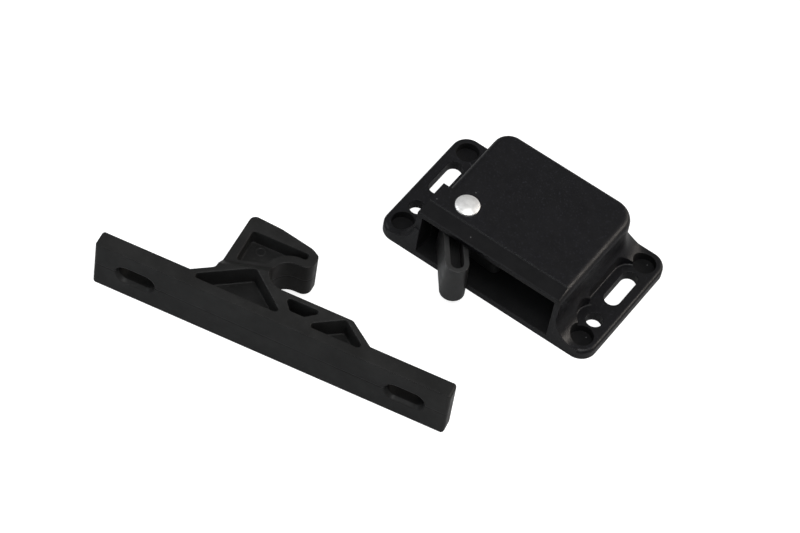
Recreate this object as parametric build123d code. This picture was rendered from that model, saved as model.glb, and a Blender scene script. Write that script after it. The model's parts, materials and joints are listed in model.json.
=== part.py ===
from build123d import *
import os
from math import acos, asin, atan2, cos, degrees, hypot, radians, sin, sqrt, tan

# Push to open catch: a moulded housing with a pivoting jaw, a cam slide and its spring, and the
# keeper bar that its jaw grips. X runs along the flanges, -Y is the open front, Z is up from the
# mounting face. The origin is at the middle of the housing's underside. All sizes are millimetres.

RIGHT_ANGLE = 90

# Housing base
BASE_LENGTH = 60.9
BASE_DEPTH = 36.4
BASE_CORNER = 4.2
FLANGE_THICKNESS = 2.95
FLANGE_WIDTH = 9.95
RIM_ROUND = 1.0

# Housing cover
COVER_HEIGHT = 16.2
COVER_BACK_INSET = 1.6
COVER_BACK_CORNER = 6.0
COVER_ROOF_ROUND = 2.0
WALL = 1.5
ROOF = 2.2
FLOOR = 1.8
FLARE = 6.9
BAND_DEPTH = 5.1
BAND_EDGE = 0.25
BAND_DROP = 0.5
LIP_RAKE = 0.5
LIP_STEP = 0.4
LIP_SETBACK = 0.7
RELIEF_DEPTH = 1.6
RELIEF_SETBACK = 11.1
PARTITION_OFFSET = 5.5
PARTITION_SETBACK = 12.0
PARTITION_THICKNESS = 1.2

# Flange fixings, measured in from the edges of the base
PIT_INSET = 4.5
PIT_SETBACK = 4.6
PIT_DIAMETER = 5.8
PIT_DEPTH = 2.2
HOLE_INSET = 4.7
HOLE_SETBACK = 10.3
HOLE_DIAMETER = 4.2
SLOT_INSET = 4.85
SLOT_SPACING = 11.75
SLOT_WIDTH = 4.2
SLOT_LENGTH = 11.6
SEAT_GAP = 0.7
SEAT_OVERLAP = 3.0
SEAT_CORNER = 1.0
SEAT_ROUND = 0.4

# Pivot rivet
PIVOT_INSET = 5.1
PIVOT_SETBACK = 9.2
RIVET_DIAMETER = 4.0
RIVET_HEAD = 6.0
RIVET_HEAD_HEIGHT = 1.2
RIVET_HEAD_RIM = 0.4
RIVET_TAIL = 6.4
RIVET_TAIL_HEIGHT = 0.8
RUNNING_CLEARANCE = 0.05

# Jaw
JAW_TURN = 52.0
JAW_END_GAP = 0.15
JAW_SIDE_GAP = 0.5
JAW_EYE_WALL = 1.4
FINGER_ANGLE = -51.8
FINGER_OFFSET = 2.8
FINGER_HEEL = 1.1
FINGER_REACH = 14.5
FINGER_RADIUS = 2.8
FINGER_DRAFT = 1.5
FINGER_DROP = 0.65
FINGER_RIB = 1.2
FINGER_POCKET = 5.5
PALM_ANGLE = -5.0
PALM_REACH = 10.5
PALM_RADIUS = 1.8
CROTCH_ROUND = 1.2

# Cam slide
SLIDE_GAP = 0.1
SLIDE_CORNER = 1.0
STOP_GAP = 2.1
OVERTRAVEL = 0.9
GUIDE_GAP = 0.4

# Return spring
SPRING_INSET = 9.4
SPRING_DIAMETER = 6.0
SPRING_WIRE = 0.7
SPRING_TURNS = 8
SPRING_BORE_DEPTH = 9.5
SPRING_BORE_CLEARANCE = 0.4
SPIGOT_DIAMETER = 3.6
SPIGOT_LENGTH = 1.0

# Cam follower wire and the track it runs in
FOLLOWER_WIRE = 1.0
FOLLOWER_BEND = 0.6
FOLLOWER_INSET = 8.6
FOLLOWER_MARGIN = 1.1
TRACK_CLEARANCE = 0.3
TRACK_DEPTH = 1.4
TRACK_LATCH_X = 2.2
TRACK_RETURN_X = 4.4
WIRE_RECESS = 1.2
ANCHOR_BACK = 1.0
ANCHOR_DEPTH = 1.0

# Keeper bar
KEEPER_LENGTH = 90.6
KEEPER_THICKNESS = 4.1
KEEPER_HEIGHT = 14.7
KEEPER_END_ROUND = 0.8
KEEPER_SLOT_INSET = 10.8
KEEPER_SLOT_WIDTH = 4.6
KEEPER_SLOT_LENGTH = 9.2
KEEPER_SINK_MARGIN = 0.65
KEEPER_SINK_DEPTH = 1.2
KEEPER_YAW = 11.34
KEEPER_X = -29.67
KEEPER_Y = -60.27

# Keeper web and hook, in plan from the middle of the bar's back face
WEB_RISE = 4.8
WEB_FOOT_LEFT = 22.7
WEB_FOOT_RIGHT = 23.3
WEB_SHOULDER_LEFT = 17.8
WEB_SHOULDER_RIGHT = 16.8
WEB_SHOULDER_DROP = 1.4
WEB_ROUND = 1.5
STEM_LEAN = 0.6
RAMP_X = -8.3
RAMP_START = 7.3
RAMP_SKEW = 17.0
RAMP_RUN = 2.6
HOOK_CLEARANCE = 0.8
HEEL_RISE = 8.1
HEEL_ROUND = 1.6
SPINE_X = -9.3
SPINE_DROP = 0.55
SPINE_ROUND = 12.0
BROW_X = -0.5
BROW_DROP = 2.3
BROW_ROUND = 4.0
TIP_X = 1.8
TIP_DROP = 3.7
TIP_ROUND = 1.2
CHIN_X = 1.7
CHIN_ROUND = 2.2
MOUTH_X = -1.6
MOUTH_CLEARANCE = 2.05

# Keeper pockets
WEB_POCKET_DEPTH = 5.4
HOOK_POCKET_DEPTH = 4.3
POCKET_BITE = 1.6
POCKET_CORNER = 0.8
POCKET_TOP_RIB = 1.2
LEFT_PEAK_X = -9.4
LEFT_PEAK_RISE = 2.8
LEFT_POCKET_END = 1.6
MIDDLE_TOP_START = 0.0
MIDDLE_TOP_END = 10.1
MIDDLE_FOOT_START = 2.7
MIDDLE_FOOT_END = 6.3
MIDDLE_FOOT = 0.3
RIGHT_POCKET_START = 6.8
RIGHT_PEAK_X = 15.3
RIGHT_PEAK_DROP = 0.5
RIGHT_FOOT_RIB = 0.6
STEM_RIB = 2.65
CROWN_RIB = 4.1
NOSE_RIB = 2.2
MOUTH_WALL = 2.1
THROAT_X = -6.0
THROAT_RISE = 7.5
STEM_POCKET_FOOT = 4.0

# Worked-out values
BASE_FRONT = -BASE_DEPTH / 2
BASE_BACK = BASE_DEPTH / 2
BASE_SIDE = BASE_LENGTH / 2
COVER_HALF_WIDTH = BASE_SIDE - FLANGE_WIDTH
COVER_BACK = BASE_BACK - COVER_BACK_INSET
INNER_HALF_WIDTH = COVER_HALF_WIDTH - WALL
INNER_BACK = COVER_BACK - WALL
ROOF_UNDER = COVER_HEIGHT - ROOF
MIDDLE_HEIGHT = (FLOOR + ROOF_UNDER) / 2
LIP_FRONT = BASE_FRONT + LIP_RAKE
BAND_BACK = BASE_FRONT + BAND_DEPTH
RELIEF_X = RELIEF_DEPTH - COVER_HALF_WIDTH
RELIEF_FRONT = BASE_FRONT + RELIEF_SETBACK
HOLE_X = BASE_SIDE - HOLE_INSET
HOLE_Y = BASE_FRONT + HOLE_SETBACK
SLOT_X = BASE_SIDE - SLOT_INSET
SLOT_Y = HOLE_Y + SLOT_SPACING
PIVOT_X = RELIEF_X + WALL + PIVOT_INSET
PIVOT_Y = BASE_FRONT + PIVOT_SETBACK
PARTITION_RIGHT = PIVOT_X + PARTITION_OFFSET
PARTITION_FRONT = PIVOT_Y + PARTITION_SETBACK
JAW_BOTTOM = FLOOR + JAW_END_GAP
JAW_HEIGHT = ROOF_UNDER - FLOOR - 2 * JAW_END_GAP
JAW_BOSS = PIVOT_INSET - JAW_SIDE_GAP
FINGER_HEIGHT = JAW_HEIGHT - FINGER_DROP
PALM_START = PALM_REACH * sin(radians(PALM_ANGLE))
PALM_LIFT = PALM_REACH * sin(radians(PALM_ANGLE + JAW_TURN)) - PALM_START
PALM_HALF_LIFT = PALM_REACH * sin(radians(PALM_ANGLE + JAW_TURN / 2)) - PALM_START
PALM_TOP = PIVOT_Y + PALM_START + PALM_RADIUS
SLIDE_TRAVEL = PALM_LIFT
SLIDE_FRONT = PALM_TOP + PALM_HALF_LIFT - PALM_LIFT / 2 + SLIDE_GAP
SLIDE_BACK = INNER_BACK - SLIDE_TRAVEL - STOP_GAP
SLIDE_LEFT = PARTITION_RIGHT + GUIDE_GAP
SLIDE_RIGHT = INNER_HALF_WIDTH - GUIDE_GAP
SPRING_X = SLIDE_LEFT + SPRING_INSET
FOLLOWER_X = SLIDE_RIGHT - FOLLOWER_INSET
FOLLOWER_Y = SLIDE_BACK - FOLLOWER_MARGIN
KEEPER_MIDDLE = KEEPER_HEIGHT / 2
KEEPER_SLOT_X = KEEPER_LENGTH / 2 - KEEPER_SLOT_INSET
HOOK_HEIGHT = ROOF_UNDER - FLOOR - 2 * HOOK_CLEARANCE
HOOK_BOTTOM = KEEPER_MIDDLE - HOOK_HEIGHT / 2
HOOK_TOP = KEEPER_MIDDLE + HOOK_HEIGHT / 2
MOUTH_RADIUS = FINGER_RADIUS + MOUTH_CLEARANCE
MOUTH_Y = WEB_RISE + MOUTH_RADIUS
NOSE_UNDER = MOUTH_Y + MOUTH_RADIUS
HEEL_Y = NOSE_UNDER + HEEL_RISE
LEFT_PEAK_Y = WEB_RISE + LEFT_PEAK_RISE


def polar(centre, radius, angle):
    """A plan point at a distance and direction, in degrees, from another."""
    return (centre[0] + radius * cos(radians(angle)), centre[1] + radius * sin(radians(angle)))


def at_pivot(reach, angle):
    """A point at a distance and direction from the rivet, in plan."""
    return polar((PIVOT_X, PIVOT_Y), reach, angle)


def plate(sketch, bottom, height):
    """A plan sketch extruded upwards from a level."""
    return extrude(Plane.XY.offset(bottom) * sketch, amount=height)


def block(x0, x1, y0, y1, z0, z1):
    """A box from its two corners."""
    return Pos((x0 + x1) / 2, (y0 + y1) / 2, (z0 + z1) / 2) * Box(x1 - x0, y1 - y0, z1 - z0)


def arm(start, start_radius, end, end_radius):
    """A plan outline that wraps two circles with its tangent lines."""
    along = degrees(atan2(end[1] - start[1], end[0] - start[0]))
    opening = degrees(acos((start_radius - end_radius) / hypot(end[0] - start[0], end[1] - start[1])))
    left = Line(polar(start, start_radius, along + opening), polar(end, end_radius, along + opening))
    right = Line(polar(end, end_radius, along - opening), polar(start, start_radius, along - opening))
    nose = ThreePointArc(left @ 1, polar(end, end_radius, along), right @ 0)
    root = ThreePointArc(right @ 1, polar(start, start_radius, along + 2 * RIGHT_ANGLE), left @ 0)
    return make_face(left + nose + right + root)


def rounded_polygon(points, radius):
    """A closed plan outline with every corner rounded."""
    face = make_face(Polyline(*points, close=True))
    return fillet(face.vertices(), radius)


def base_outline():
    """The plan outline of the mounting plate."""
    return RectangleRounded(BASE_LENGTH, BASE_DEPTH, BASE_CORNER)


def flange_plate():
    """The mounting plate with a rounded rim."""
    base = plate(base_outline(), 0, FLANGE_THICKNESS)
    return fillet(base.faces().sort_by(Axis.Z)[-1].edges(), RIM_ROUND)


def cover_plan(inset):
    """The cover's plan, moved inwards by a wall thickness; its left side is relieved at the back."""
    half = COVER_HALF_WIDTH - inset
    back = COVER_BACK - inset
    left = RELIEF_X + inset
    step = RELIEF_FRONT - inset
    front = BASE_FRONT - WALL
    corners = [(half, front), (half, back), (left, back), (left, step), (-half, step), (-half, front)]
    plan = make_face(Polyline(*corners, close=True))
    right_corner = plan.vertices().sort_by_distance((half, back, 0))[0]
    plan = fillet(right_corner, COVER_BACK_CORNER - inset)
    left_corner = plan.vertices().sort_by_distance((left, back, 0))[0]
    return fillet(left_corner, COVER_BACK_CORNER - RELIEF_DEPTH - inset)


def cover_block():
    """The box-shaped cover with a stepped front band and a broadly rounded roof edge."""
    band_front = COVER_HEIGHT - BAND_DROP
    side = Polyline(
        (BASE_FRONT, 0),
        (COVER_BACK, 0),
        (COVER_BACK, COVER_HEIGHT),
        (BAND_BACK, COVER_HEIGHT),
        (BAND_BACK - BAND_EDGE, COVER_HEIGHT - BAND_EDGE),
        (LIP_FRONT + BAND_EDGE, band_front),
        (LIP_FRONT, band_front - BAND_EDGE),
        (BASE_FRONT, FLANGE_THICKNESS),
        close=True,
    )
    banded = extrude(Plane.YZ * make_face(side), amount=COVER_HALF_WIDTH, both=True)
    upright = plate(cover_plan(0), 0, COVER_HEIGHT)
    roof_back = upright.edges().group_by(Axis.Z)[-1].sort_by(Axis.Y)[-1]
    return banded & fillet(roof_back, COVER_ROOF_ROUND)


def flare_wall():
    """The line along which the concave blend rises, from the right front round the back to the left."""
    left_corner = COVER_BACK_CORNER - RELIEF_DEPTH
    level = FLANGE_THICKNESS - RIM_ROUND
    points = [
        (COVER_HALF_WIDTH, BASE_FRONT, level),
        (COVER_HALF_WIDTH, COVER_BACK - COVER_BACK_CORNER, level),
        (COVER_HALF_WIDTH - COVER_BACK_CORNER, COVER_BACK, level),
        (RELIEF_X + left_corner, COVER_BACK, level),
        (RELIEF_X, COVER_BACK - left_corner, level),
        (RELIEF_X, BASE_FRONT, level),
    ]
    right = Line(points[0], points[1]) + RadiusArc(points[1], points[2], -COVER_BACK_CORNER)
    left = RadiusArc(points[3], points[4], -left_corner) + Line(points[4], points[5])
    return right + Line(points[2], points[3]) + left


def flares():
    """The concave blend between the cover and its flanges, trimmed to the plate's outline."""
    path = flare_wall()
    foot = Rectangle(FLARE, FLARE + RIM_ROUND, align=Align.MIN)
    profile = foot - Pos(FLARE, FLARE + RIM_ROUND) * Circle(FLARE)
    across = Plane(origin=path @ 0, x_dir=(1, 0, 0), z_dir=(0, -1, 0))
    swept = sweep(across * profile, path=path)
    left_front = block(-COVER_HALF_WIDTH - FLARE, RELIEF_X, BASE_FRONT, RELIEF_FRONT,
                       FLANGE_THICKNESS - RIM_ROUND, FLANGE_THICKNESS + FLARE)
    bore = Rot(RIGHT_ANGLE, 0, 0) * Cylinder(FLARE, BASE_DEPTH)
    bore = Pos(-COVER_HALF_WIDTH - FLARE, RELIEF_FRONT, FLANGE_THICKNESS + FLARE) * bore
    trim = block(-BASE_SIDE, BASE_SIDE, BASE_FRONT, BASE_BACK - RIM_ROUND, 0, COVER_HEIGHT)
    return (swept + (left_front - bore)) & trim & plate(base_outline(), 0, COVER_HEIGHT)


def cavity():
    """The space that is open at the front, with its partition and spring spigot left standing."""
    inside = plate(cover_plan(WALL), FLOOR, ROOF_UNDER - FLOOR)
    step = block(-INNER_HALF_WIDTH, INNER_HALF_WIDTH, BASE_FRONT - WALL, LIP_FRONT + LIP_SETBACK,
                 ROOF_UNDER - LIP_STEP, ROOF_UNDER + LIP_STEP)
    partition = block(PARTITION_RIGHT - PARTITION_THICKNESS, PARTITION_RIGHT, PARTITION_FRONT,
                      COVER_BACK, 0, COVER_HEIGHT)
    spigot = Pos(SPRING_X, INNER_BACK, MIDDLE_HEIGHT) * Rot(RIGHT_ANGLE, 0, 0) * Cylinder(
        SPIGOT_DIAMETER / 2, 2 * SPIGOT_LENGTH)
    return inside + step - partition - spigot


def seat_plans():
    """The flat seats for the screw heads of the right flange, one round its slot, one round its hole."""
    edge = COVER_HALF_WIDTH + SEAT_GAP
    slot_half = SLOT_X - edge
    top = SLOT_Y + (SLOT_LENGTH - SLOT_WIDTH) / 2
    low = HOLE_Y + SEAT_OVERLAP
    bay = Pos(SLOT_X, (top + low) / 2) * Rectangle(2 * slot_half, top - low)
    bay = fillet(bay.vertices().group_by(Axis.Y)[0], SEAT_CORNER)
    return [bay + Pos(SLOT_X, top) * Circle(slot_half), Pos(HOLE_X, HOLE_Y) * Circle(HOLE_X - edge)]


def flange_cuts():
    """Pits, slot, hole and seat of the right flange, mirrored to the left one."""
    pits = []
    for y in (BASE_FRONT + PIT_SETBACK, BASE_BACK - PIT_SETBACK):
        pits.append(Pos(BASE_SIDE - PIT_INSET, y) * Circle(PIT_DIAMETER / 2))
    slot = Pos(SLOT_X, SLOT_Y) * SlotOverall(SLOT_LENGTH, SLOT_WIDTH, rotation=RIGHT_ANGLE)
    hole = Pos(HOLE_X, HOLE_Y) * Circle(HOLE_DIAMETER / 2)
    cuts = [plate(pit, FLANGE_THICKNESS - PIT_DEPTH, COVER_HEIGHT) for pit in pits]
    cuts += [plate(slot, 0, COVER_HEIGHT), plate(hole, 0, COVER_HEIGHT)]
    for plan in seat_plans():
        seat = plate(plan, FLANGE_THICKNESS, COVER_HEIGHT)
        cuts.append(fillet(seat.faces().sort_by(Axis.Z)[0].edges(), SEAT_ROUND))
    return cuts + [mirror(cut, Plane.YZ) for cut in cuts]


def housing():
    """The one-piece moulded housing."""
    body = flange_plate() + cover_block() + flares() - cavity()
    for cut in flange_cuts():
        body -= cut
    body -= Pos(PIVOT_X, PIVOT_Y, COVER_HEIGHT / 2) * Cylinder(RIVET_DIAMETER / 2, 2 * COVER_HEIGHT)
    body -= plate(Pos(PIVOT_X, PIVOT_Y) * Circle(RIVET_TAIL / 2), 0, RIVET_TAIL_HEIGHT)
    anchor = Pos(FOLLOWER_X, INNER_BACK - ANCHOR_BACK) * Circle(FOLLOWER_WIRE / 2)
    return body - plate(anchor, FLOOR - ANCHOR_DEPTH, ANCHOR_DEPTH)


def pivot_rivet():
    """A solid rivet: domed head on the roof, shank through the jaw, formed tail in the floor."""
    foot = (Align.CENTER, Align.CENTER, Align.MIN)
    head = RIVET_HEAD / 2
    rise = RIVET_HEAD_HEIGHT - RIVET_HEAD_RIM
    ball = (head ** 2 + rise ** 2) / (2 * rise)
    shank = Cylinder(RIVET_DIAMETER / 2, COVER_HEIGHT, align=foot)
    tail = Cylinder(RIVET_TAIL / 2, RIVET_TAIL_HEIGHT, align=foot)
    blank = Cylinder(head, RIVET_HEAD_HEIGHT, align=foot)
    dome = Pos(0, 0, COVER_HEIGHT) * (blank & Pos(0, 0, RIVET_HEAD_HEIGHT - ball) * Sphere(ball))
    return Pos(PIVOT_X, PIVOT_Y) * (shank + tail + dome)


def finger_plan(heel, radius):
    """A slot-shaped plan along the finger, from a distance past the rivet to the finger's end."""
    start = polar(at_pivot(heel, FINGER_ANGLE), FINGER_OFFSET, FINGER_ANGLE - RIGHT_ANGLE)
    end = polar(at_pivot(FINGER_REACH, FINGER_ANGLE), FINGER_OFFSET, FINGER_ANGLE - RIGHT_ANGLE)
    return arm(start, radius, end, radius)


def jaw():
    """The jaw at rest: a hollow drafted finger that grips the hook and a palm that the hook pushes."""
    pivot = at_pivot(0, 0)
    boss = Pos(*pivot) * Circle(JAW_BOSS)
    palm = arm(pivot, PALM_RADIUS, at_pivot(PALM_REACH, PALM_ANGLE), PALM_RADIUS)
    body = plate(palm + boss, JAW_BOTTOM, FINGER_HEIGHT)
    crotch = at_pivot(JAW_BOSS, PALM_ANGLE - degrees(asin(PALM_RADIUS / JAW_BOSS)))
    upright = body.edges().filter_by(Axis.Z).sort_by_distance((*crotch, JAW_BOTTOM))[0]
    body = fillet(upright, CROTCH_ROUND)
    spread = FINGER_HEIGHT * tan(radians(FINGER_DRAFT))
    foot = Pos(0, 0, JAW_BOTTOM) * finger_plan(FINGER_HEEL, FINGER_RADIUS + spread)
    top = Pos(0, 0, JAW_BOTTOM + FINGER_HEIGHT) * finger_plan(FINGER_HEEL, FINGER_RADIUS)
    body += loft(Sketch() + foot + top)
    body += plate(boss, JAW_BOTTOM, JAW_HEIGHT)
    pocket_radius = FINGER_RADIUS - FINGER_RIB
    eye = RIVET_DIAMETER / 2 + JAW_EYE_WALL + pocket_radius
    pocket = finger_plan(sqrt(eye ** 2 - FINGER_OFFSET ** 2), pocket_radius)
    body -= plate(pocket, JAW_BOTTOM + FINGER_HEIGHT - FINGER_POCKET, FINGER_POCKET + FINGER_DROP)
    bore = Circle(RIVET_DIAMETER / 2 + RUNNING_CLEARANCE)
    return body - plate(Pos(*pivot) * bore, 0, COVER_HEIGHT)


def heart_track():
    """The closed groove round a heart-shaped island, from the rest point at the slide's back."""
    stations = [
        (0, 0),
        (0, SLIDE_TRAVEL),
        (TRACK_LATCH_X, SLIDE_TRAVEL - OVERTRAVEL),
        (TRACK_RETURN_X, SLIDE_TRAVEL),
        (TRACK_RETURN_X, SLIDE_TRAVEL / 2),
        (0, 0),
    ]
    width = FOLLOWER_WIRE + TRACK_CLEARANCE
    track = Sketch()
    for here, there in zip(stations, stations[1:]):
        track += arm((here[0], -here[1]), width / 2, (there[0], -there[1]), width / 2)
    return Pos(FOLLOWER_X, FOLLOWER_Y) * track


def slide():
    """The cam slide at rest, pushed back by the palm and forward by the spring."""
    bottom = JAW_BOTTOM
    corners = [(SLIDE_LEFT, SLIDE_FRONT), (SLIDE_RIGHT, SLIDE_FRONT), (SLIDE_RIGHT, SLIDE_BACK),
               (SLIDE_LEFT, SLIDE_BACK)]
    plan = make_face(Polyline(*corners, close=True))
    back_right = plan.vertices().sort_by_distance((SLIDE_RIGHT, SLIDE_BACK, 0))[0]
    plan = fillet(back_right, COVER_BACK_CORNER - WALL)
    front_left = plan.vertices().sort_by_distance((SLIDE_LEFT, SLIDE_FRONT, 0))[0]
    plan = fillet(front_left, SLIDE_CORNER)
    body = plate(plan, bottom, JAW_HEIGHT)
    bore = Cylinder(SPRING_DIAMETER / 2 + SPRING_BORE_CLEARANCE, 2 * SPRING_BORE_DEPTH)
    body -= Pos(SPRING_X, SLIDE_BACK, MIDDLE_HEIGHT) * Rot(RIGHT_ANGLE, 0, 0) * bore
    recess = block(FOLLOWER_X - FOLLOWER_WIRE, FOLLOWER_X + TRACK_RETURN_X + FOLLOWER_WIRE,
                   FOLLOWER_Y - SLIDE_TRAVEL - FOLLOWER_WIRE, SLIDE_BACK, bottom, bottom + WIRE_RECESS)
    body -= recess
    return body - plate(heart_track(), bottom + WIRE_RECESS, TRACK_DEPTH)


def return_spring():
    """The compression spring between the slide and the back wall."""
    front = SLIDE_BACK - SPRING_BORE_DEPTH
    length = INNER_BACK - front - SPRING_WIRE
    radius = (SPRING_DIAMETER - SPRING_WIRE) / 2
    coil = Helix(pitch=length / SPRING_TURNS, height=length, radius=radius)
    section = Plane(origin=coil @ 0, z_dir=coil % 0) * Circle(SPRING_WIRE / 2)
    wire = sweep(section, path=coil)
    return Pos(SPRING_X, INNER_BACK - SPRING_WIRE / 2, MIDDLE_HEIGHT) * Rot(RIGHT_ANGLE, 0, 0) * wire


def cam_follower():
    """The bent wire that stays in the housing and steers in the slide's track."""
    level = JAW_BOTTOM + FOLLOWER_WIRE / 2
    back = INNER_BACK - ANCHOR_BACK
    top = JAW_BOTTOM + WIRE_RECESS + TRACK_DEPTH - TRACK_CLEARANCE
    path = FilletPolyline(
        (FOLLOWER_X, FOLLOWER_Y, top),
        (FOLLOWER_X, FOLLOWER_Y, level),
        (FOLLOWER_X, back, level),
        (FOLLOWER_X, back, FLOOR - ANCHOR_DEPTH),
        radius=FOLLOWER_BEND,
    )
    section = Plane(origin=path @ 0, z_dir=path % 0) * Circle(FOLLOWER_WIRE / 2)
    return sweep(section, path=path)


def keeper_plan():
    """The web and hook outline, with the bar's back face along Y = 0."""
    shoulder_left = (-WEB_SHOULDER_LEFT, WEB_RISE - WEB_SHOULDER_DROP)
    shoulder_right = (WEB_SHOULDER_RIGHT, WEB_RISE)
    heel = (STEM_LEAN - WEB_SHOULDER_LEFT, HEEL_Y)
    spine = (SPINE_X, HEEL_Y - SPINE_DROP)
    brow = (BROW_X, HEEL_Y - BROW_DROP)
    tip = (TIP_X, HEEL_Y - TIP_DROP)
    chin = (CHIN_X, NOSE_UNDER)
    outline = Polyline(
        (MOUTH_X, WEB_RISE),
        shoulder_right,
        (WEB_FOOT_RIGHT, 0),
        (WEB_FOOT_RIGHT, -KEEPER_THICKNESS / 2),
        (-WEB_FOOT_LEFT, -KEEPER_THICKNESS / 2),
        (-WEB_FOOT_LEFT, 0),
        shoulder_left,
        heel,
        spine,
        brow,
        tip,
        chin,
        (MOUTH_X, NOSE_UNDER),
    )
    mouth = ThreePointArc((MOUTH_X, NOSE_UNDER), (MOUTH_X - MOUTH_RADIUS, MOUTH_Y), (MOUTH_X, WEB_RISE))
    plan = make_face(outline + mouth)
    rounds = {heel: HEEL_ROUND, spine: SPINE_ROUND, brow: BROW_ROUND, tip: TIP_ROUND,
              chin: CHIN_ROUND, shoulder_left: WEB_ROUND, shoulder_right: WEB_ROUND}
    for point, radius in rounds.items():
        corner = plan.vertices().sort_by_distance((*point, 0))[0]
        plan = fillet(corner, radius)
    return plan


def web_pockets():
    """The three lightening pockets between the ribs of the web."""
    left = [(-WEB_FOOT_LEFT, -POCKET_BITE), (LEFT_PEAK_X, LEFT_PEAK_Y), (LEFT_POCKET_END, -POCKET_BITE)]
    top = WEB_RISE - POCKET_TOP_RIB
    middle = [(MIDDLE_TOP_START, top), (MIDDLE_TOP_END, top), (MIDDLE_FOOT_END, MIDDLE_FOOT),
              (MIDDLE_FOOT_START, MIDDLE_FOOT)]
    right = [(RIGHT_POCKET_START, -POCKET_BITE), (RIGHT_PEAK_X, WEB_RISE - RIGHT_PEAK_DROP),
             (WEB_FOOT_RIGHT - RIGHT_FOOT_RIB, -POCKET_BITE)]
    return [rounded_polygon(corners, POCKET_CORNER) for corners in (left, middle, right)]


def hook_pocket():
    """The lightening pocket of the hook, which follows its stem, crown and mouth."""
    stem = STEM_RIB - WEB_SHOULDER_LEFT
    crown = HEEL_Y - CROWN_RIB
    nose = TIP_X - NOSE_RIB
    corners = [(stem, WEB_RISE + STEM_POCKET_FOOT), (stem, crown), (nose, crown), (nose, MOUTH_Y),
               (THROAT_X, WEB_RISE + THROAT_RISE)]
    field = make_face(Polyline(*corners, close=True))
    field -= Pos(MOUTH_X, MOUTH_Y) * Circle(MOUTH_RADIUS + MOUTH_WALL)
    field = field.faces().sort_by(SortBy.AREA)[-1]
    return fillet(field.vertices(), POCKET_CORNER)


def side_profile():
    """The web at the bar's full height, ramped down on both faces to the lower hook."""
    reach = KEEPER_LENGTH / 2
    ramp_end = RAMP_START + RAMP_RUN
    corners = [(-reach, 0), (RAMP_START, 0), (ramp_end, HOOK_BOTTOM), (reach, HOOK_BOTTOM),
               (reach, HOOK_TOP), (ramp_end, HOOK_TOP), (RAMP_START, KEEPER_HEIGHT),
               (-reach, KEEPER_HEIGHT)]
    section = Plane.YZ * make_face(Polyline(*corners, close=True))
    along = extrude(section, amount=KEEPER_LENGTH, both=True)
    return Pos(RAMP_X, 0) * Rot(0, 0, RAMP_SKEW) * along


def keeper_in_place(shape):
    """Moves the keeper from its own axes to where it lies in front of the housing."""
    return Pos(KEEPER_X, KEEPER_Y) * Rot(0, 0, KEEPER_YAW) * shape


def keeper():
    """The keeper bar with its web, hook and countersunk slots."""
    bar = Pos(0, -KEEPER_THICKNESS / 2, KEEPER_MIDDLE) * Box(KEEPER_LENGTH, KEEPER_THICKNESS,
                                                            KEEPER_HEIGHT)
    bar = fillet(bar.edges().filter_by(Axis.Y) + bar.edges().filter_by(Axis.Z), KEEPER_END_ROUND)
    body = bar + (plate(keeper_plan(), 0, KEEPER_HEIGHT) & side_profile())
    for pocket in web_pockets():
        body -= plate(pocket, KEEPER_HEIGHT - WEB_POCKET_DEPTH, WEB_POCKET_DEPTH)
        body -= plate(pocket, 0, WEB_POCKET_DEPTH)
    body -= plate(hook_pocket(), HOOK_TOP - HOOK_POCKET_DEPTH, KEEPER_HEIGHT)
    body -= plate(hook_pocket(), HOOK_BOTTOM + HOOK_POCKET_DEPTH - KEEPER_HEIGHT, KEEPER_HEIGHT)
    face = Plane(origin=(0, -KEEPER_THICKNESS, KEEPER_MIDDLE), x_dir=(1, 0, 0), z_dir=(0, -1, 0))
    for x in (-KEEPER_SLOT_X, KEEPER_SLOT_X):
        slot = Pos(x, 0) * SlotOverall(KEEPER_SLOT_LENGTH, KEEPER_SLOT_WIDTH)
        mouth = Pos(x, 0) * SlotOverall(KEEPER_SLOT_LENGTH + 2 * KEEPER_SINK_MARGIN,
                                        KEEPER_SLOT_WIDTH + 2 * KEEPER_SINK_MARGIN)
        body -= extrude(face * slot, amount=-KEEPER_THICKNESS)
        body -= loft(Sketch() + face.offset(-KEEPER_SINK_DEPTH) * slot + face * mouth)
    return keeper_in_place(body)


PARTS = {
    "housing": housing,
    "pivot_rivet": pivot_rivet,
    "jaw": jaw,
    "slide": slide,
    "return_spring": return_spring,
    "cam_follower": cam_follower,
    "keeper": keeper,
}

os.makedirs("parts", exist_ok=True)
for name, make in PARTS.items():
    export_step(make(), f"parts/{name}.step")
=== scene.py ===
import json
from math import atan2, cos, radians, sin

import bpy
from mathutils import Matrix, Vector


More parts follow.
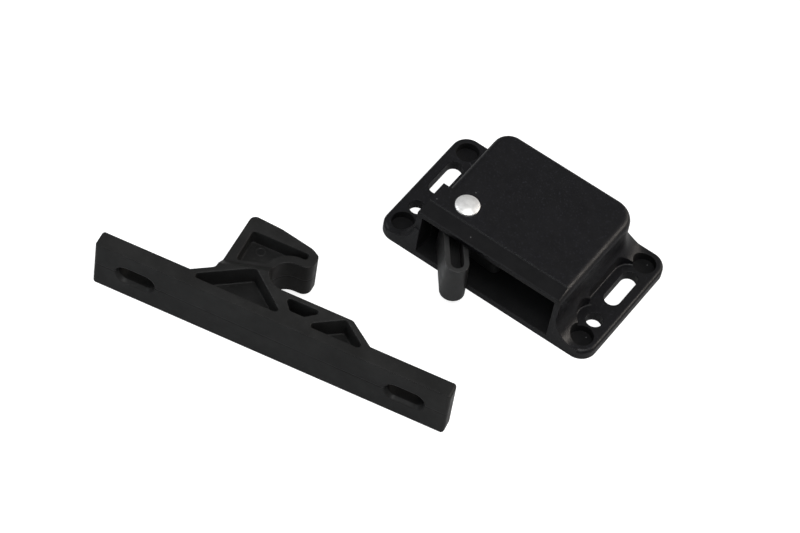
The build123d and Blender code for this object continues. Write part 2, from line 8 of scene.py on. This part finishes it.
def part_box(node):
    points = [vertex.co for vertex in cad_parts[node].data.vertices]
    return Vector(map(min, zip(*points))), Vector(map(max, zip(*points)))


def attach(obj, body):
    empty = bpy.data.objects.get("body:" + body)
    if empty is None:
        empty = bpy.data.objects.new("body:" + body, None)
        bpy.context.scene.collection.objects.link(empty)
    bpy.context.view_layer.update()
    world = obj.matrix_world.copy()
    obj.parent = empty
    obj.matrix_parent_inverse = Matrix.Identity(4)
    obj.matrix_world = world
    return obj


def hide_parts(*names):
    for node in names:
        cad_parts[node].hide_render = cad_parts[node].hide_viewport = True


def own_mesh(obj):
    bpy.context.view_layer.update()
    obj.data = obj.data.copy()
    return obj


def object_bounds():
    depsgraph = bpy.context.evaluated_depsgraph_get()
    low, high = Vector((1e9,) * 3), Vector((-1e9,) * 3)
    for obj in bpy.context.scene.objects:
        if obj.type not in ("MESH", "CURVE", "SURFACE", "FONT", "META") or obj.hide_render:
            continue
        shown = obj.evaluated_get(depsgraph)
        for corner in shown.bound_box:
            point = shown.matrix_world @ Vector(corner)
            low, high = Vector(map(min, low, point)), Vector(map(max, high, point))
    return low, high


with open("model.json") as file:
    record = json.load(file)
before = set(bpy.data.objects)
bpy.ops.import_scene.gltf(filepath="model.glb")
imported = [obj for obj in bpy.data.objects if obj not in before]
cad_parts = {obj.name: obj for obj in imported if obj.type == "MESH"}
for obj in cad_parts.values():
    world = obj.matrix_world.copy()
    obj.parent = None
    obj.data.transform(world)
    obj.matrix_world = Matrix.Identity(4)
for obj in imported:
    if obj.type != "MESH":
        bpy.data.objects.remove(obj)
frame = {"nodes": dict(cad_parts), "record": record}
cad_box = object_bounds()

MM = 0.001

# The camera looks down at the set from in front of the housing and to its right.
CAMERA_TARGET = Vector((-19.78, -23.06, 0.0)) * MM
CAMERA_AZIMUTH = 27.12
CAMERA_ELEVATION = 53.52
CAMERA_ROLL = 10.41
CAMERA_DISTANCE = 857.2 * MM
CAMERA_LENS = 162.0
SENSOR_WIDTH = 36.0

# Marks in the mouldings, in millimetres from the housing's middle or along the keeper
PIT_INSET = 4.5 * MM
PIT_SETBACK = 4.6 * MM
PIT_RADIUS = 2.9 * MM
BAND_LINE = -13.1 * MM
COVER_HALF = 19.0 * MM
DUST_SPECKS = ((-19.07, -12.03), (-12.95, -4.5), (-6.55, -15.78), (26.1, 15.3), (26.47, -11.9))
DULLING = 0.4
SPECK_RADIUS = 0.18 * MM
KEEPER_SLOT_X = 34.5 * MM
KEEPER_SLOT_RUN = 2.3 * MM
KEEPER_SLOT_RADIUS = 2.3 * MM
PARTING_DEPTH = 0.06
SPRING_WIRE = 0.7 * MM
SPRING_TURNS = 9
EJECTOR_AT = (-12.0 * MM, 20.8 * MM)
EJECTOR_RADIUS = 1.1 * MM
EJECTOR_RISE = 0.06
SOFTNESS = 0.1 * MM
DUST_GREY = 0.12
# Colour of the walls inside the housing, lighter than the housing: painted fill light
INSIDE_PAINTED_FILL = (0.009, 0.009, 0.0095)

# Finishes: shares of the material's own colour, and the shaders' settings
MOTTLE_DARK = 0.82
MOTTLE_PALE = 1.18
# Paler colour along the edges is a painted highlight
EDGE_HIGHLIGHT_PALE = 2.2
EDGE_HIGHLIGHT_SHARE = 0.5
# The band's darker colour is painted shade; its smoothing of the grain is real
BAND_PAINTED_SHADE = 0.6
BAND_SMOOTHING = 0.8
# Pits are darkened as painted shade
PIT_PAINTED_SHADE = 0.5
CLOUD_DARK = 0.6
CLOUD_SHARE = 0.5
PARTING_DARK = 0.3
EJECTOR_PALE = 1.5
# Screw slots are darkened as painted shade
SLOT_PAINTED_SHADE = 0.25
METAL_DARK = 0.82
ROUGHNESS_SPREAD = 0.05
PLASTIC_IOR = 1.5
METALLIC = 0.5
BEVEL_SAMPLES = 6

# The table and what surrounds the set
TABLE_HALF = 2.0
TABLE_GREY = 0.45
TABLE_GLOW = 0.85
TABLE_GAP = 0.02 * MM
AMBIENT = 0.32


def on_sphere(azimuth, elevation, distance, centre):
    """A point at an azimuth to the right of the -Y direction and at an elevation, round a centre."""
    flat = cos(radians(elevation))
    turn = radians(azimuth)
    away = Vector((flat * sin(turn), -flat * cos(turn), sin(radians(elevation))))
    return centre + away * distance


def look_at(obj, target):
    """Turns an object's -Z axis towards a point, with its Y axis up."""
    direction = target - obj.location
    obj.rotation_euler = direction.to_track_quat("-Z", "Y").to_euler()


def make_camera():
    data = bpy.data.cameras.new("camera")
    camera = bpy.data.objects.new("camera", data)
    bpy.context.scene.collection.objects.link(camera)
    data.lens = CAMERA_LENS
    data.sensor_width = SENSOR_WIDTH
    data.clip_start = 0.01
    data.clip_end = 20.0
    camera.location = on_sphere(CAMERA_AZIMUTH, CAMERA_ELEVATION, CAMERA_DISTANCE, CAMERA_TARGET)
    look_at(camera, CAMERA_TARGET)
    roll = Matrix.Rotation(radians(CAMERA_ROLL), 4, "Z")
    camera.rotation_euler = (camera.rotation_euler.to_matrix().to_4x4() @ roll).to_euler()
    bpy.context.scene.camera = camera


def node(tree, kind, inputs=None, **settings):
    """A shader node with its settings and plain input values."""
    made = tree.nodes.new(kind)
    for name, value in settings.items():
        setattr(made, name, value)
    for name, value in (inputs or {}).items():
        made.inputs[name].default_value = value
    return made


def ramp(tree, source, low, high, low_at=0.3, high_at=0.7):
    """A colour ramp between two colours, driven by a socket."""
    made = node(tree, "ShaderNodeValToRGB")
    made.color_ramp.elements[0].position = low_at
    made.color_ramp.elements[0].color = (*low, 1.0)
    made.color_ramp.elements[1].position = high_at
    made.color_ramp.elements[1].color = (*high, 1.0)
    tree.links.new(source, made.inputs["Fac"])
    return made.outputs["Color"]


def noise(tree, coords, scale, detail=2.0, roughness=0.5):
    made = node(tree, "ShaderNodeTexNoise",
                {"Scale": scale, "Detail": detail, "Roughness": roughness})
    tree.links.new(coords, made.inputs["Vector"])
    return made.outputs["Fac"]


def new_material(name):
    material = bpy.data.materials.new(name)
    material.use_nodes = True
    tree = material.node_tree
    shader = tree.nodes["Principled BSDF"]
    coords = node(tree, "ShaderNodeTexCoord").outputs["Object"]
    return material, tree, shader, coords


def scaled(colour, factor):
    return tuple(channel * factor for channel in colour)


def maths(tree, operation, first, second=0.0):
    """A Math node between a socket and a socket or number."""
    made = node(tree, "ShaderNodeMath", operation=operation)
    for socket, value in zip(made.inputs, (first, second)):
        if isinstance(value, (int, float)):
            socket.default_value = value
        else:
            tree.links.new(value, socket)
    return made.outputs["Value"]


def remap(tree, source, low, high, to_low=0.0, to_high=1.0):
    """A smooth step of a socket between two values."""
    made = node(tree, "ShaderNodeMapRange", interpolation_type="SMOOTHSTEP",
                inputs={"From Min": low, "From Max": high, "To Min": to_low, "To Max": to_high})
    tree.links.new(source, made.inputs["Value"])
    return made.outputs["Result"]


def tint(tree, amount, colour, wanted):
    """A colour socket, drawn towards a fixed colour where the amount is high."""
    made = node(tree, "ShaderNodeMix", data_type="RGBA")
    made.inputs[7].default_value = (*wanted, 1.0)
    tree.links.new(amount, made.inputs[0])
    tree.links.new(colour, made.inputs[6])
    return made.outputs[2]


def edge_mask(tree, radius):
    """High where the surface turns within a radius, so along edges."""
    softened = node(tree, "ShaderNodeBevel", {"Radius": radius}, samples=BEVEL_SAMPLES)
    flat = node(tree, "ShaderNodeNewGeometry")
    turned = node(tree, "ShaderNodeVectorMath", operation="DOT_PRODUCT")
    tree.links.new(softened.outputs["Normal"], turned.inputs[0])
    tree.links.new(flat.outputs["Normal"], turned.inputs[1])
    return remap(tree, turned.outputs["Value"], 0.995, 0.80)


def moulded_plastic(name, colour, roughness, specular, grain_size, grain_height, edge_radius, fleck,
                    marks=None):
    """Black moulded plastic: sparked grain, flow mottling, softened edges made paler as a painted
    highlight, and a few pale flecks.
    """
    material, tree, shader, coords = new_material(name)
    mottle = noise(tree, coords, 160.0, 4.0, 0.6)
    body = ramp(tree, mottle, scaled(colour, MOTTLE_DARK), scaled(colour, MOTTLE_PALE), 0.35, 0.65)
    speckle = remap(tree, noise(tree, coords, 0.6 / grain_size, 1.0), 0.56, 0.80)
    body = tint(tree, speckle, body, scaled(colour, fleck))
    # Paler colour where the surface turns: a painted highlight along the edges
    highlight_edges = edge_mask(tree, 0.8 * edge_radius)
    body = tint(tree, maths(tree, "MULTIPLY", highlight_edges, EDGE_HIGHLIGHT_SHARE), body, scaled(colour, EDGE_HIGHLIGHT_PALE))
    relief = maths(tree, "MULTIPLY", noise(tree, coords, 1.0 / grain_size, 2.0, 0.6), grain_height)
    # The marks may return a mask of painted shade, which also dulls the roughness
    shade_and_dull = 0.0
    if marks:
        body, relief, shade_and_dull = marks(tree, coords, body, relief, colour)
    smoothest, roughest = roughness - ROUGHNESS_SPREAD, roughness + ROUGHNESS_SPREAD
    rough = remap(tree, noise(tree, coords, 420.0, 2.0), 0.3, 0.7, smoothest, roughest)
    rough = maths(tree, "ADD", rough, maths(tree, "MULTIPLY", shade_and_dull, DULLING))
    softened = node(tree, "ShaderNodeBevel", {"Radius": edge_radius}, samples=BEVEL_SAMPLES)
    bump = node(tree, "ShaderNodeBump", {"Strength": 1.0, "Distance": MM})
    tree.links.new(relief, bump.inputs["Height"])
    tree.links.new(softened.outputs["Normal"], bump.inputs["Normal"])
    tree.links.new(bump.outputs["Normal"], shader.inputs["Normal"])
    tree.links.new(body, shader.inputs["Base Color"])
    tree.links.new(rough, shader.inputs["Roughness"])
    shader.inputs["IOR"].default_value = PLASTIC_IOR
    shader.inputs["Specular IOR Level"].default_value = specular
    return material


def split(tree, vector):
    made = node(tree, "ShaderNodeSeparateXYZ")
    tree.links.new(vector, made.inputs[0])
    return made.outputs


def distance_to(tree, first, second, at):
    """The distance in a plane from a point, given the plane's two coordinates."""
    flat = node(tree, "ShaderNodeCombineXYZ")
    tree.links.new(first, flat.inputs[0])
    tree.links.new(second, flat.inputs[1])
    made = node(tree, "ShaderNodeVectorMath", operation="DISTANCE")
    tree.links.new(flat.outputs[0], made.inputs[0])
    made.inputs[1].default_value = (*at, 0.0)
    return made.outputs["Value"]


def housing_marks_and_shade(tree, coords, body, relief, colour):
    """A smooth band along the cover's front darkened as painted shade, walls inside lightened as painted
    fill light, pits darkened as painted shade, and a few dust specks.
    """
    x, y, z = split(tree, coords)
    low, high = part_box("housing")
    # The band along the cover's front is darkened as painted shade and its grain is smoothed
    band = maths(tree, "MULTIPLY", remap(tree, y, BAND_LINE, BAND_LINE - SOFTNESS),
                 remap(tree, z, high[2] - 2.5 * MM, high[2] - 2.0 * MM))
    body = tint(tree, band, body, scaled(colour, BAND_PAINTED_SHADE))
    kept = maths(tree, "SUBTRACT", 1.0, maths(tree, "MULTIPLY", band, BAND_SMOOTHING))
    relief = maths(tree, "MULTIPLY", relief, kept)
    pit = (high[0] - PIT_INSET, high[1] - PIT_SETBACK)
    across = maths(tree, "ABSOLUTE", x)
    # The walls inside the housing are lightened with painted fill light
    inside = maths(tree, "MULTIPLY", remap(tree, across, COVER_HALF + SOFTNESS, COVER_HALF),
                   maths(tree, "MULTIPLY", remap(tree, z, low[2] + 1.6 * MM, low[2] + 1.75 * MM),
                         remap(tree, z, high[2] - 2.0 * MM, high[2] - 2.15 * MM)))
    body = tint(tree, inside, body, INSIDE_PAINTED_FILL)
    away = distance_to(tree, across, maths(tree, "ABSOLUTE", y), pit)
    # The pits are darkened as painted shade and dulled
    shade_and_dull = remap(tree, away, PIT_RADIUS + 0.12 * MM, PIT_RADIUS + 0.02 * MM)
    body = tint(tree, shade_and_dull, body, scaled(colour, PIT_PAINTED_SHADE))
    for speck in DUST_SPECKS:
        away = distance_to(tree, x, y, Vector(speck) * MM)
        spot = remap(tree, away, SPECK_RADIUS, 0.5 * SPECK_RADIUS)
        body = tint(tree, spot, body, (DUST_GREY, DUST_GREY, DUST_GREY))
    return body, relief, shade_and_dull


def keeper_marks_and_shade(tree, coords, body, relief, colour):
    """A parting line along the bar, screw slots darkened as painted shade, cloudy flow marks and an
    ejector ring.
    """
    mount = next(m for m in frame["record"]["mounts"] if m["name"] == "keeper_face")
    facing = Vector(mount["axis"])
    turned = node(tree, "ShaderNodeVectorRotate", rotation_type="Z_AXIS")
    tree.links.new(coords, turned.inputs["Vector"])
    turned.inputs["Center"].default_value = mount["pos_m"]
    turned.inputs["Angle"].default_value = -atan2(facing.x, -facing.y)
    moved = node(tree, "ShaderNodeVectorMath", operation="SUBTRACT")
    tree.links.new(turned.outputs["Vector"], moved.inputs[0])
    moved.inputs[1].default_value = mount["pos_m"]
    x, y, z = split(tree, moved.outputs["Vector"])
    height = maths(tree, "ABSOLUTE", z)
    clouds = remap(tree, noise(tree, coords, 70.0, 3.0, 0.6), 0.42, 0.62)
    clouds = maths(tree, "MULTIPLY", clouds, CLOUD_SHARE)
    body = tint(tree, clouds, body, scaled(colour, CLOUD_DARK))
    worn = remap(tree, noise(tree, coords, 120.0, 2.0), 0.3, 0.7, 0.25, 0.85)
    line = maths(tree, "MULTIPLY", remap(tree, height, 0.24 * MM, 0.06 * MM), worn)
    body = tint(tree, line, body, scaled(colour, PARTING_DARK))
    relief = maths(tree, "SUBTRACT", relief, maths(tree, "MULTIPLY", line, PARTING_DEPTH))
    away = distance_to(tree, x, y, EJECTOR_AT)
    ring = maths(tree, "ABSOLUTE", maths(tree, "SUBTRACT", away, EJECTOR_RADIUS))
    raised = maths(tree, "MULTIPLY", remap(tree, ring, 0.22 * MM, 0.05 * MM),
                   remap(tree, height, 4.0 * MM, 3.5 * MM))
    body = tint(tree, raised, body, scaled(colour, EJECTOR_PALE))
    relief = maths(tree, "ADD", relief, maths(tree, "MULTIPLY", raised, EJECTOR_RISE))
    along = maths(tree, "ABSOLUTE", maths(tree, "SUBTRACT", maths(tree, "ABSOLUTE", x), KEEPER_SLOT_X))
    beyond = maths(tree, "MAXIMUM", maths(tree, "SUBTRACT", along, KEEPER_SLOT_RUN), 0.0)
    away = distance_to(tree, beyond, height, (0.0, 0.0))
    shade_and_dull = remap(tree, away, KEEPER_SLOT_RADIUS + 0.12 * MM, KEEPER_SLOT_RADIUS + 0.02 * MM)
    # The screw slots are darkened as painted shade and dulled
    body = tint(tree, shade_and_dull, body, scaled(colour, SLOT_PAINTED_SHADE))
    return body, relief, shade_and_dull


def formed_metal(name, colour, roughness):
    """Bright metal with the slight dulling and marks that forming leaves."""
    material, tree, shader, coords = new_material(name)
    marks = noise(tree, coords, 900.0, 4.0, 0.6)
    tree.links.new(ramp(tree, marks, scaled(colour, METAL_DARK), colour), shader.inputs["Base Color"])
    spread = node(tree, "ShaderNodeMapRange",
                  {"To Min": roughness - 0.08, "To Max": roughness + 0.12})
    tree.links.new(noise(tree, coords, 500.0, 2.0), spread.inputs["Value"])
    tree.links.new(spread.outputs["Result"], shader.inputs["Roughness"])
    bump = node(tree, "ShaderNodeBump", {"Strength": 0.6, "Distance": 0.03 * MM})
    tree.links.new(marks, bump.inputs["Height"])
    tree.links.new(bump.outputs["Normal"], shader.inputs["Normal"])
    shader.inputs["Metallic"].default_value = METALLIC
    return material


def make_spring(material):
    """The return spring, wound with closed ends."""
    low, high = (Vector(corner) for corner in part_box("return_spring"))
    middle = (low + high) / 2
    radius = (high.x - low.x - SPRING_WIRE) / 2
    front = low.y + SPRING_WIRE / 2
    back = high.y - SPRING_WIRE / 2
    closed = 1.02 * SPRING_WIRE
    heights = [front, front + closed, back - closed, back]
    turns = [0.0, 1.0, SPRING_TURNS - 1.0, float(SPRING_TURNS)]
    line = bpy.data.curves.new("spring_line", "CURVE")
    line.dimensions = "3D"
    line.bevel_depth = SPRING_WIRE / 2
    line.bevel_resolution = 2
    line.use_fill_caps = True
    spline = line.splines.new("POLY")
    steps = SPRING_TURNS * 24
    spline.points.add(steps)
    for index, point in enumerate(spline.points):
        turn = SPRING_TURNS * index / steps
        part = next(i for i in range(3) if turn <= turns[i + 1])
        share = (turn - turns[part]) / (turns[part + 1] - turns[part])
        y = heights[part] + share * (heights[part + 1] - heights[part])
        angle = radians(360.0 * turn)
        point.co = (middle.x + radius * cos(angle), y, middle.z + radius * sin(angle), 1.0)
    shaped = bpy.data.objects.new("spring_line", line)
    bpy.context.scene.collection.objects.link(shaped)
    bpy.context.view_layer.update()
    evaluated = shaped.evaluated_get(bpy.context.evaluated_depsgraph_get())
    mesh = bpy.data.meshes.new_from_object(evaluated)
    bpy.data.objects.remove(shaped)
    for polygon in mesh.polygons:
        polygon.use_smooth = True
    mesh.materials.clear()
    mesh.materials.append(material)
    spring = bpy.data.objects.new("spring_coil", mesh)
    bpy.context.scene.collection.objects.link(spring)
    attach(spring, "housing_body")
    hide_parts("return_spring")
    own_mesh(spring)


def paint_nodes():
    housing = moulded_plastic("housing_grain", (0.0036, 0.0036, 0.0047), 0.38, 0.28,
                              0.28 * MM, 0.045, 0.2 * MM, 3.5, housing_marks_and_shade)
    jaw = moulded_plastic("jaw_satin", (0.020, 0.020, 0.020), 0.38, 0.5,
                          0.5 * MM, 0.006, 0.3 * MM, 1.2)
    slide = moulded_plastic("slide_satin", (0.035, 0.035, 0.035), 0.36, 0.4,
                            0.5 * MM, 0.006, 0.2 * MM, 1.2)
    keeper = moulded_plastic("keeper_satin", (0.0180, 0.0180, 0.0178), 0.35, 0.15,
                             0.4 * MM, 0.005, 0.6 * MM, 1.3, keeper_marks_and_shade)
    rivet = formed_metal("rivet_metal", (0.97, 0.965, 0.95), 0.32)
    wire = formed_metal("spring_wire", (0.55, 0.55, 0.56), 0.3)
    make_spring(wire)
    looks = {"housing": housing, "jaw": jaw, "slide": slide, "keeper": keeper, "pivot_rivet": rivet,
             "cam_follower": wire}
    for name, material in looks.items():
        obj = frame["nodes"][name]
        obj.data.materials.clear()
        obj.data.materials.append(material)


def make_floor():
    """A large pale table. What the camera sees of it is lifted to white and keeps a faint shadow."""
    half = TABLE_HALF
    mesh = bpy.data.meshes.new("floor")
    corners = [(-half, -half, 0), (half, -half, 0), (half, half, 0), (-half, half, 0)]
    mesh.from_pydata(corners, [], [(0, 1, 2, 3)])
    floor = bpy.data.objects.new("floor", mesh)
    bpy.context.scene.collection.objects.link(floor)
    floor.location.z = cad_box[0][2] - TABLE_GAP
    material = bpy.data.materials.new("floor_white")
    material.use_nodes = True
    tree = material.node_tree
    tree.nodes.clear()
    diffuse = node(tree, "ShaderNodeBsdfDiffuse", {"Color": (TABLE_GREY, TABLE_GREY, TABLE_GREY, 1.0)})
    glow = node(tree, "ShaderNodeEmission", {"Color": (1.0, 1.0, 1.0, 1.0), "Strength": TABLE_GLOW})
    path = node(tree, "ShaderNodeLightPath")
    seen = node(tree, "ShaderNodeMixShader")
    dark = node(tree, "ShaderNodeEmission", {"Color": (0.0, 0.0, 0.0, 1.0), "Strength": 0.0})
    total = node(tree, "ShaderNodeAddShader")
    out = node(tree, "ShaderNodeOutputMaterial")
    tree.links.new(path.outputs["Is Camera Ray"], seen.inputs[0])
    tree.links.new(dark.outputs[0], seen.inputs[1])
    tree.links.new(glow.outputs[0], seen.inputs[2])
    tree.links.new(diffuse.outputs[0], total.inputs[0])
    tree.links.new(seen.outputs[0], total.inputs[1])
    tree.links.new(total.outputs[0], out.inputs["Surface"])
    mesh.materials.append(material)


def softbox(name, azimuth, elevation, distance, size, power, colour=(1.0, 1.0, 1.0)):
    data = bpy.data.lights.new(name, "AREA")
    data.shape = "RECTANGLE"
    data.size, data.size_y = size
    data.energy = power
    data.color = colour
    light = bpy.data.objects.new(name, data)
    bpy.context.scene.collection.objects.link(light)
    light.location = on_sphere(azimuth, elevation, distance, CAMERA_TARGET)
    look_at(light, CAMERA_TARGET)


def make_world():
    """A dim surrounding, graded in reflections and white where the camera looks past the table."""
    world = bpy.data.worlds.new("surround")
    world.use_nodes = True
    tree = world.node_tree
    tree.nodes.clear()
    dim = node(tree, "ShaderNodeBackground", {"Color": (0.94, 0.97, 1.0, 1.0), "Strength": AMBIENT})
    pale = node(tree, "ShaderNodeBackground", {"Color": (1.0, 1.0, 1.0, 1.0)})
    height = split(tree, node(tree, "ShaderNodeTexCoord").outputs["Generated"])[2]
    tree.links.new(remap(tree, height, 0.15, 0.75, 0.10, 0.35), pale.inputs["Strength"])
    white = node(tree, "ShaderNodeBackground", {"Color": (1.0, 1.0, 1.0, 1.0), "Strength": 1.0})
    path = node(tree, "ShaderNodeLightPath")
    glossy = node(tree, "ShaderNodeMixShader")
    seen = node(tree, "ShaderNodeMixShader")
    out = node(tree, "ShaderNodeOutputWorld")
    tree.links.new(path.outputs["Is Glossy Ray"], glossy.inputs[0])
    tree.links.new(dim.outputs[0], glossy.inputs[1])
    tree.links.new(pale.outputs[0], glossy.inputs[2])
    tree.links.new(path.outputs["Is Camera Ray"], seen.inputs[0])
    tree.links.new(glossy.outputs[0], seen.inputs[1])
    tree.links.new(white.outputs[0], seen.inputs[2])
    tree.links.new(seen.outputs[0], out.inputs["Surface"])
    bpy.context.scene.world = world


def light_scene():
    softbox("overhead", 50.0, 72.0, 0.9, (0.5, 0.4), 3.5)
    softbox("right", 128.0, 33.0, 0.9, (0.25, 0.2), 2.2, (1.0, 0.92, 0.84))
    softbox("back", 152.0, 17.0, 0.8, (0.4, 0.2), 0.9, (1.0, 0.93, 0.85))
    softbox("front", -20.0, 20.0, 0.9, (0.4, 0.15), 1.0, (0.94, 0.97, 1.0))
    softbox("glint", 32.0, 38.0, 0.9, (0.2, 0.12), 0.4)
    softbox("left", -68.0, 42.0, 0.9, (0.35, 0.35), 1.5, (0.94, 0.97, 1.0))


make_camera()
paint_nodes()
make_floor()
make_world()
light_scene()

bpy.context.scene.view_settings.view_transform = "Standard"
